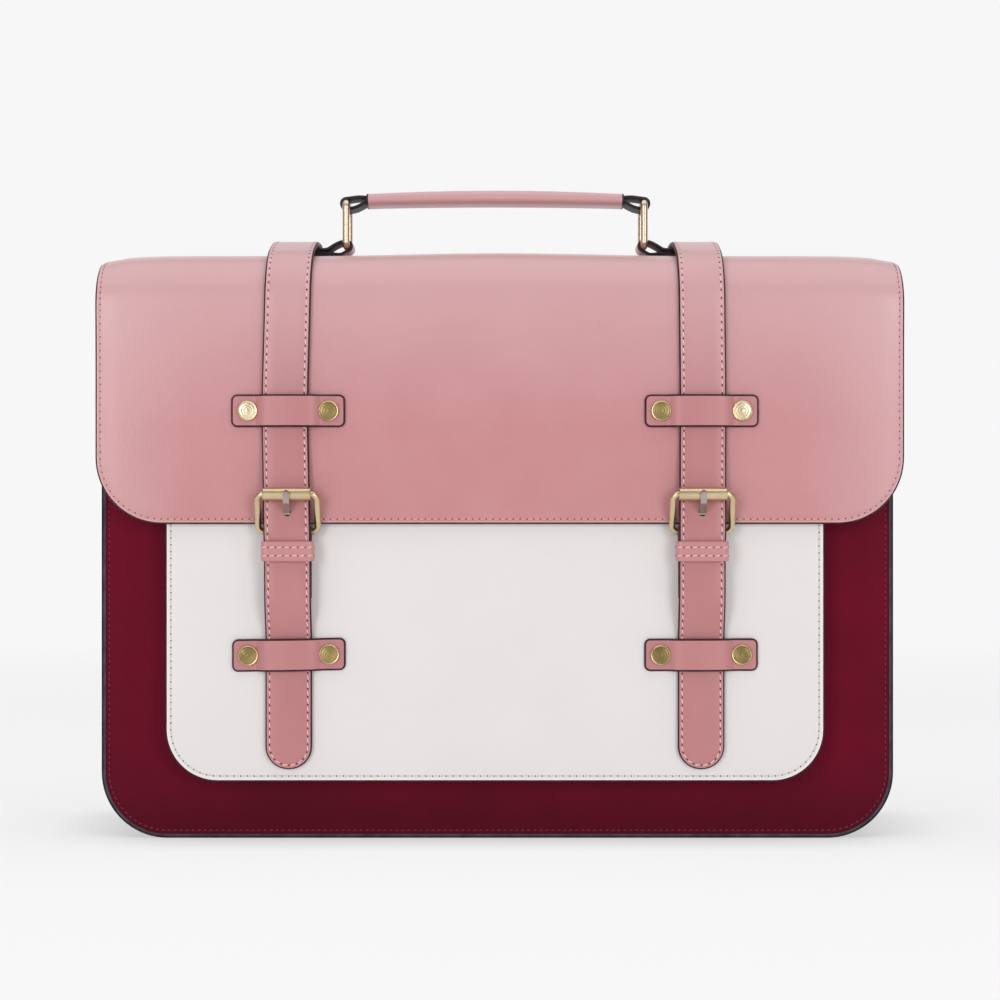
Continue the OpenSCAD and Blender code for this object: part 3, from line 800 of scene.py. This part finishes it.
def strap_lift(y):
    """The strap rises where it passes over the handle tab, and comes down slowly towards the front."""
    away = abs(y - handle_y) - (tab_hi[1] - tab_lo[1]) / 2
    front_slope, back_slope = 46, 16
    return tab_lift * ramp(1 - away / (front_slope if y < handle_y else back_slope))


# The back face of the strap from the back panel to its tip
top_part = [(back_hi[1] + GAP, back_strap_lo[2]), (back_hi[1] + GAP, 226), (anchor_y + GAP, 233),
            (anchor_y + GAP, back_c[1])]
top_part += over_the_top(GAP, strap_lift)
over_bar_y = bar_y - 3.55
over_chape_y = flap_y - 2.6
front_part = [(flap_y - GAP, upper_z - 17), (over_bar_y, bar_z + 3), (over_bar_y, bar_z - 3)]
front_part += [(over_chape_y, small_z + 2), (over_chape_y, chape_lo[2] - 0.5)]
front_part += [(pocket_y - GAP, lower_z + 9.5), (pocket_y - GAP, tip_lo[2])]
strap_route = Route(top_part + front_part, 1.5, 4)
strap_half = STRAP_W / 2
IN_FRONT_Y = -60


def strap_length_at(z):
    """How far along the strap its front part comes down to height z."""
    below = (strap_route.points[:, 0] < IN_FRONT_Y) & (strap_route.points[:, 1] < z)
    return strap_route.along[below.argmax()]


strap_split = strap_length_at(upper_z)

# How far each strap wanders sideways near its upper keeper
STRAP_DRIFT = {"left": -1.5, "right": 0.6}


def open_line(loop, first, last):
    """The part of a closed loop whose first coordinate is between first and last, as one open line."""
    kept = [p for p in loop if first <= p[0] <= last]
    start = max(range(len(kept)), key=lambda i: np.linalg.norm(kept[i] - kept[i - 1]))
    return kept[start:] + kept[:start]


def strap_sheets(side, sign):
    """The strap in two lengths that meet out of sight under the riveted upper keeper."""
    flat = ribbon(strap_route, "yz", sign * STRAP_X)

    def place(a, b, h):
        x, y, z = flat(a, b, h)
        drift = STRAP_DRIFT[side] * math.exp(-((z - upper_z) / 45) ** 2) if y < 0 else 0
        return x + drift, y, z

    end_r = strap_half - 0.3
    loops = {
        "upper": rounded_rect(0, strap_split, -strap_half, strap_half, (end_r, 0.6, 0.6, end_r)),
        "lower": rounded_rect(strap_split + 0.2, strap_route.length, -strap_half, strap_half,
                              (0.6, end_r, end_r, 0.6)),
    }
    nodes = {"upper": ("_strap_anchor", "_strap_bend", "_strap"), "lower": ("_strap_tail", "_strap_tip")}
    stitched = {"upper": (0, strap_split - 4), "lower": (strap_split + 4, strap_route.length)}
    pivot = tip_hi[2] - STRAP_T / 2
    bends = {
        "upper": ("bag", "flap", (0, (anchor_y + 1) * MM, 0), (0, BEND_END_Y, 0)),
        "lower": ("flap", side + "_tip", (0, 0, pivot * MM), (0, 0, (pivot - 9) * MM)),
    }
    straps = {}
    for part, loop in loops.items():
        straps[part] = sheet(side + "_strap_" + part, loop, place, STRAP_T, (PINK_STRAP, EDGE_PLUM), 0.8,
                             (2.1, 0.2), (3, 4))
        finish_piece(straps[part], None, [side + node for node in nodes[part]])
    for part, loop in loops.items():
        line = open_line(loop(2.1), *stitched[part])
        stitches = seam(side + "_strap_" + part + "_stitches", line, place, STRAP_T - 0.15, 3.9,
                        (PINK_THREAD, HOLE_SHADE), 0.34, 0.46)
        finish_piece(stitches)
        first, second, low, high = bends[part]
        for obj in (straps[part], stitches):
            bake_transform(obj)
            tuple(low)
            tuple(high)


def prong_slot_shade(side, sign):
    """A dark sheet on the strap's face under the prong: painted shade standing in for the punched slot that
    the prong comes out of and for the prong's shadow below it.
    """
    half, r = 1.8, 1.7
    top = strap_length_at(bar_z + 12.8)
    bottom = strap_length_at(bar_z + 8.0)
    outline = rounded_rect(top, bottom, -half, half, (r, r, r, r), 0.8)
    place = ribbon(strap_route, "yz", sign * STRAP_X)
    piece = sheet(side + "_prong_slot_shade", outline, place, 0.12, (HOLE_SHADE_DARK, HOLE_SHADE), 0.05, None, (1, 1),
                  base=STRAP_T - 0.05)
    finish_piece(piece, "flap")


for side, sign in SIDES:
    strap_sheets(side, sign)
    prong_slot_shade(side, sign)


# ---- Keepers ----

def keeper(name, node, body, sign, y, z, tilt=0.0):
    """A riveted band: flat feet on the leather and a hump over the strap."""
    hump = GAP + STRAP_T + GAP
    half = (upper_keeper_hi[0] - upper_keeper_lo[0]) / 2 + 0.6
    shoulder = strap_half + 0.5
    points = [(half, y), (shoulder + 3.0, y), (shoulder + 1.4, y - 0.6 * hump), (shoulder - 0.6, y - hump),
              (shoulder - 4, y - hump - 0.4), (0, y - hump - 0.8)]
    points = [(-a, b) for a, b in points] + [(a, b) for a, b in reversed(points[:-1])]
    route = Route(points, 0.8, 7)
    flat = ribbon(route, "xy", z)
    lean = math.tan(math.radians(tilt))

    def place(a, b, h):
        x, yy, zz = flat(a, b, h)
        return x + sign * STRAP_X, yy, zz + x * lean

    tall = (upper_keeper_hi[2] - upper_keeper_lo[2]) / 2
    loop = rounded_rect(0, route.length, -tall, tall, (3, 3, 3, 3), 1.2)
    piece = sheet(name, loop, place, 1.9, (PINK_KEEPER, EDGE_PLUM), 0.95, (1.9, 0.06), (1.6, 3))
    finish_piece(piece, body, (node,))


for side, sign in SIDES:
    keeper(side + "_upper_keeper_leather", side + "_upper_keeper", "flap", sign, flap_y, upper_z)
    keeper(side + "_lower_keeper_leather", side + "_lower_keeper", "bag", sign, pocket_y, lower_z,
           0.9 if sign < 0 else 0.2)


def small_keeper(side, sign):
    """The stitched loop just below the buckle, round the strap and the chape."""
    half = strap_half + 0.35
    front = small_lo[1] + 1.35
    back = small_hi[1] - 1.6
    r = 1.1
    points = [(2, back)] + arc(half - r, back - r, r, 90, 0, 5) + arc(half - r, front + r, r, 0, -90, 5)
    points += arc(r - half, front + r, r, -90, -180, 5) + arc(r - half, back - r, r, 180, 90, 5)
    points.append((-2, back))
    route = Route(points, 0.7, 2, turn=-1)
    place = ribbon(route, "xy", small_z)

    def moved(a, b, h):
        x, y, z = place(a, b, h)
        return x + sign * STRAP_X, y, z

    tall = (small_hi[2] - small_lo[2]) / 2
    loop = rounded_rect(0, route.length, -tall, tall, (0.5, 0.5, 0.5, 0.5), 1.0)
    piece = sheet(side + "_small_keeper_leather", loop, moved, 1.1, (PINK, PINK), 0.45, None, (1, 2))
    finish_piece(piece, "flap", (side + "_small_keeper",))
    for label, b in (("upper", 2.0), ("lower", -2.1)):
        line = [(4, b), (route.length - 4, b)]
        row = seam(side + "_small_keeper_stitches_" + label, line, moved, 1.08, 3.7, (PINK_THREAD, HOLE_SHADE),
                   0.32, 0.40)
        finish_piece(row, "flap")


# ---- Chape: a strip folded round the buckle's bottom bar ----

def chape(side, sign):
    """The folded strip: down behind the bar, round it, and back down."""
    layer = 1.5
    low = chape_lo[2]
    r = WIRE_R + 0.1
    points = [(bar_y + 0.2, low), (bar_y + 0.2, bar_z - 5)]
    points += arc(bar_y, bar_z, r, -40, 220, 18) + [(bar_y - 0.2, bar_z - 5), (bar_y - 0.2, low)]
    route = Route(points, 0.7, 2)
    loop = rounded_rect(0, route.length, -strap_half, strap_half, (2, 2, 2, 2), 2)
    piece = sheet(side + "_chape_leather", loop, ribbon(route, "yz", sign * STRAP_X), layer,
                  (PINK_STRAP, EDGE_PLUM), 0.5, None, (1.2, 4))
    finish_piece(piece, "flap", (side + "_chape",))


for piece_for in (small_keeper, chape):
    for side, sign in SIDES:
        piece_for(side, sign)


# ---- Rivets ----

RIVET_R = 5.1
RIVET_DX = 20


def rivet(name, x, y, z, facing=-1, face=ANTIQUE):
    """A capped rivet: raised pale rim round a darker, finely ringed face."""
    profile = [(RIVET_R - 0.3, 0), (RIVET_R, 0.3), (RIVET_R, 0.9), (RIVET_R - 0.15, 1.25)]
    profile += [(RIVET_R - 0.45, 1.45), (RIVET_R - 0.75, 1.40), (RIVET_R - 0.95, 1.15)]
    rings = 12
    for i in range(rings):
        ridge = 0.10 if i in (2, 3, 6) else 0.0
        profile.append(((RIVET_R - 1.1) * (1 - i / rings), 1.08 + ridge + 0.02 * i))
    profile.append((0.15, 1.35))
    return lathe(name, profile, (x, y, z), (0, facing, 0), (RIM_BRASS, face), second_from=5)


def join(name, parts):
    """Joins objects into one."""
    for o in bpy.context.selected_objects:
        o.select_set(False)
    for o in parts:
        o.select_set(True)
    bpy.context.view_layer.objects.active = parts[0]
    bpy.ops.object.join()
    parts[0].name = name
    return parts[0]


def keeper_rivets(name, node, body, y, z, tilts=(0, 0)):
    """The four rivets of a pair of keepers, with their plain caps on the inside. The flap's outer two
    have brighter faces: a painted highlight, where those caps catch the light."""
    cap = [(4, 0), (4, 0.6), (3.4, 1.0), (0.2, 1.1)]
    cap_y = y + (4.9 if body == "flap" else 4.1)
    parts = []
    for (side, sign), tilt in zip(SIDES, tilts):
        for dx in (-RIVET_DX, RIVET_DX):
            x = sign * STRAP_X + dx
            rise = dx * math.tan(math.radians(tilt))
            # Painted highlight on the flap's two outer rivet faces
            painted_glint = body == "flap" and dx * sign > 0
            parts.append(rivet("r", x, y, z + rise, face=GLINT_BRASS if painted_glint else ANTIQUE))
            parts.append(lathe("c", cap, (x, cap_y, z + rise), (0, 1, 0), (ANTIQUE, ANTIQUE)))
    finish_piece(join(name, parts), body, (node,))


keeper_rivets("flap_rivet_set", "flap_rivets", "flap", flap_y - 1.9, upper_z)
keeper_rivets("pocket_rivet_set", "pocket_rivets", "bag", pocket_y - 1.9, lower_z, (0.9, 0.2))
back_rivet_z = (box("back_rivets")[0][2] + box("back_rivets")[1][2]) / 2
back_parts = [rivet("r", sign * STRAP_X, back_hi[1] + GAP + STRAP_T, back_rivet_z, 1) for _, sign in SIDES]
finish_piece(join("back_rivet_set", back_parts), "bag", ("back_rivets",))


# ---- Rollers ----

ROLLER_R = (roller_hi[2] - roller_lo[2]) / 2
# The angle of its seam, turned to the back at rest
ROLLER_SEAM = 20
roller_y = (roller_lo[1] + roller_hi[1]) / 2


def roller(side, sign):
    """The buckle's roller: a rolled tube with an open seam along it and softly turned ends."""
    half = (roller_hi[0] - roller_lo[0]) / 2
    sides = 56
    rows = [(-half, 0.60), (-half, 0.90), (0.4 - half, 1.0), (half - 0.4, 1.0), (half, 0.90), (half, 0.60)]
    points = []
    for x, size in rows:
        for j in range(sides):
            t = 2 * math.pi * j / sides
            away = abs((math.degrees(t) - ROLLER_SEAM + 180) % 360 - 180)
            r = ROLLER_R * size - (0.35 * math.exp(-(away / 5.0) ** 2) if size > 0.7 else 0)
            points.append((sign * STRAP_X + x, roller_y + r * math.cos(t), roller_z + r * math.sin(t)))
    faces = tube_faces(len(rows), sides, wrap=True)
    piece = make_object(side + "_roller_tube", points, faces, (BRASS,), sharp=35)
    finish_piece(piece, side + "_roller", (side + "_roller",))


for side, sign in SIDES:
    roller(side, sign)


# ---- Handle ----

def loop_strap(ring_z, sign, far_x, strands):
    """Leather folded round a ring's bar, as a route from one strand's end round the bar to the other's.
    strands are two lists of (distance from the bar, height over it), upper then lower."""
    r = RING_WIRE_R + 0.1
    x = sign * ring_x
    way = 1 if far_x > x else -1
    upper, lower = strands
    points = [(far_x, ring_z + upper[-1][1])] + [(x + way * d, ring_z + h) for d, h in reversed(upper)]
    for t in np.radians(np.linspace(78, 282, 30)):
        points.append((x + way * r * math.cos(t), ring_z + r * math.sin(t)))
    points += [(x + way * d, ring_z + h) for d, h in lower] + [(far_x, ring_z + lower[-1][1])]
    return Route(points, 0.5, 6, turn=way)


loop_half = (core_hi[1] - core_lo[1]) / 2
tab_flat = tab_lo[2] + TAB_T - ring_low_z
# The two strands of each loop, as loop_strap() takes them
LOOP_STRANDS = ([(3.2, 2.35), (6.5, 2.75), (10.4, 2.5)], [(2.6, -1.7), (5.2, -0.9), (8, 0.6), (10.4, 1.9)])
TAB_STRANDS = ([(3.0, 1.5), (6.0, 0.0), (9.5, tab_flat + 0.4), (12, tab_flat + 0.15)],
               [(3.0, tab_flat - 0.9), (8.0, tab_flat - 0.4), (12, tab_flat - 0.05)])


def ring_loop(name, body, ring_z, sign, far_x, strands, outer, replaced):
    """A leather loop round one bar of a ring."""
    route = loop_strap(ring_z, sign, far_x, strands)
    outline = rounded_rect(0, route.length, -loop_half, loop_half, (0.5, 0.5, 0.5, 0.5), 0.6)
    piece = sheet(name, outline, ribbon(route, "xz", handle_y), 1.5, (outer, EDGE_GREY, DARK_CORE), 0.6, None,
                  (0.6, 4))
    finish_piece(piece, body, replaced)


# The upper loop runs into the grip, the lower one under the closing strap
for side, sign in SIDES:
    core = ("handle_core", "handle_filler") if side == "left" else ()
    ring_loop(side + "_handle_loop", "handle", ring_top_z, sign, sign * 60, LOOP_STRANDS, DARK_CORE, core)
    ring_loop(side + "_tab_loop", "flap", ring_low_z, sign, sign * (STRAP_X + 10), TAB_STRANDS, PINK_STRAP,
              (side + "_handle_tab",))


def grip():
    """The leather sleeve: rounded section, slightly arched, fuller in the middle, with dark cut ends."""
    half_l = grip_hi[0]
    mid_z = (grip_lo[2] + grip_hi[2]) / 2
    depth = (grip_hi[1] - grip_lo[1]) / 2
    thick = (grip_hi[2] - grip_lo[2]) / 2
    sides, stations = 40, 66
    cut_end = 0.9
    end_drop = 0.95
    boxiness = 0.7
    inner = half_l - cut_end
    points = []
    for i in range(stations + 1):
        x = -inner + 2 * inner * (i - 1) / (stations - 2)
        x = min(max(x, -half_l), half_l)
        share = abs(x) / half_l
        middle = 1 - share ** 2
        arch = 1.3 * middle - end_drop
        tall = thick * (0.74 + 0.12 * middle + 0.03 * ramp((share - 0.93) / 0.07))
        for j in range(sides):
            t = 2 * math.pi * j / sides
            c, s = math.cos(t), math.sin(t)
            y = depth * math.copysign(abs(c) ** boxiness, c)
            z = tall * math.copysign(abs(s) ** boxiness, s)
            points.append((x, handle_y + y, mid_z + arch + z))
    faces = tube_faces(stations + 1, sides)
    face_mats = [1 if i in (0, stations - 1) else 0 for i in range(stations) for _ in range(sides)]
    for i, end in ((0, -1), (stations, 1)):
        start = len(points)
        for j in range(sides):
            p = np.array(points[i * sides + j])
            c = np.array((p[0], handle_y, mid_z - end_drop))
            q = c + (p - c) * 0.72
            points.append((q[0] - end * 0.8, q[1], q[2]))
        for j in range(sides):
            k = (j + 1) % sides
            faces.append((i * sides + j, i * sides + k, start + k, start + j))
            face_mats.append(1)
        faces.append(tuple(range(start, start + sides)))
        face_mats.append(1)
    piece = make_object("grip_leather", points, faces, (PINK, EDGE_GREY), face_mats, sharp=60)
    finish_piece(piece, "handle", ("handle_grip",))


grip()


# ---- Metal from the CAD model, with better materials ----

def paint(node, mat):
    """Gives a CAD node a new material."""
    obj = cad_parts[node]
    for slot in obj.material_slots:
        slot.material = mat
    if not obj.material_slots:
        obj.data.materials.append(mat)


for side, _ in SIDES:
    paint(side + "_buckle_frame", BRASS)
    paint(side + "_prong", STEEL)
    paint(side + "_ring", RING_BRASS)
paint("snap_sockets", SNAP)
paint("snap_studs", SNAP)
paint("bottom_board", LINING)


# ---- Floor, light and camera ----

def backdrop():
    """A pale floor that curves up into a wall behind the bag. Near the bag it is lit and takes the
    shadow, and ambient occlusion dims its glow where it meets the bag: a painted contact shadow; farther out
    it glows evenly by itself."""
    half, near, far, bend, tall = 14.0, -14.0, 3.0, 1.0, 4.0
    rows = [(near, 0.0), (far, 0.0)]
    rows += [(far + bend * math.sin(t), bend - bend * math.cos(t)) for t in np.linspace(0.1, math.pi / 2, 12)]
    rows.append((far + bend, tall))
    mesh = bpy.data.meshes.new("backdrop")
    points = [(x, y, z) for y, z in rows for x in (-half, half)]
    faces = [(2 * i, 2 * i + 1, 2 * i + 3, 2 * i + 2) for i in range(len(rows) - 1)]
    mesh.from_pydata(points, [], faces)
    mesh.polygons.foreach_set("use_smooth", [True] * len(faces))
    m = Shading("pale_backdrop")
    away = m.node("VectorMath", "Value", {0: m.coords()}, operation="LENGTH")
    # Painted contact shadow: ambient occlusion dims the floor's glow where it meets the bag
    painted_contact_shadow = m.node("AmbientOcclusion", "AO", {"Distance": 0.045})
    glow = m.join("MULTIPLY", m.ranged(away, 0.66, 0.93, 0.45, 1.6), m.ranged(painted_contact_shadow, 0.78, 1.0, 0.45, 1.0))
    tone = m.mix(m.ranged(away, 1, 0, 0.45, 1.6), (0.0, 0.0, 0.0), (0.30, 0.30, 0.30))
    mesh.materials.append(m.finish(tone, 1, Specular_IOR_Level=0, Emission_Color=(1, 1, 1, 1),
                                   Emission_Strength=glow))
    new_object("backdrop", mesh)


def area_light(name, place, target, size, power):
    """A rectangular light at place, turned to its target."""
    light = bpy.data.lights.new(name, "AREA")
    light.shape = "RECTANGLE"
    light.size, light.size_y = size
    light.energy = power
    obj = new_object(name, light)
    obj.location = place
    obj.rotation_euler = (Vector(target) - Vector(place)).to_track_quat("-Z", "Y").to_euler()


def lights():
    """A dim even world, a wide light overhead and a tall one at each side of the camera."""
    world = bpy.data.worlds.new("studio")
    bpy.context.scene.world = world
    world.use_nodes = True
    sky = world.node_tree.nodes["Background"]
    sky.inputs["Color"].default_value = (1, 1, 1, 1)
    sky.inputs["Strength"].default_value = 0.30
    area_light("top", (0, -0.1, 1.3), (0, 0, 0.2), (2.0, 1.4), 10.5)
    area_light("left", (-0.8, -1.5, 0.4), (0, 0, 0.16), (0.5, 1.1), 8.8)
    area_light("right", (0.8, -1.5, 0.4), (0, 0, 0.16), (0.5, 1.1), 8.1)


# The camera, in metres: the width it sees at the flap's face, its distance from that face, its
# height, and how far it stands to the right
FRAME_W = 0.4938
DISTANCE = 1.15
CAMERA_Z = 0.1692
CAMERA_X = 0.0025


def camera():
    """A level camera whose view is FRAME_W metres wide at the flap's face."""
    data = bpy.data.cameras.new("camera")
    data.sensor_width = 36
    data.lens = data.sensor_width * DISTANCE / FRAME_W
    data.clip_end = 50
    obj = new_object("camera", data)
    obj.location = (CAMERA_X, flap_y * MM - DISTANCE, CAMERA_Z)
    obj.rotation_euler = (math.pi / 2, 0, 0)
    bpy.context.scene.camera = obj


backdrop()
lights()
camera()
bpy.context.scene.view_settings.view_transform = "Standard"
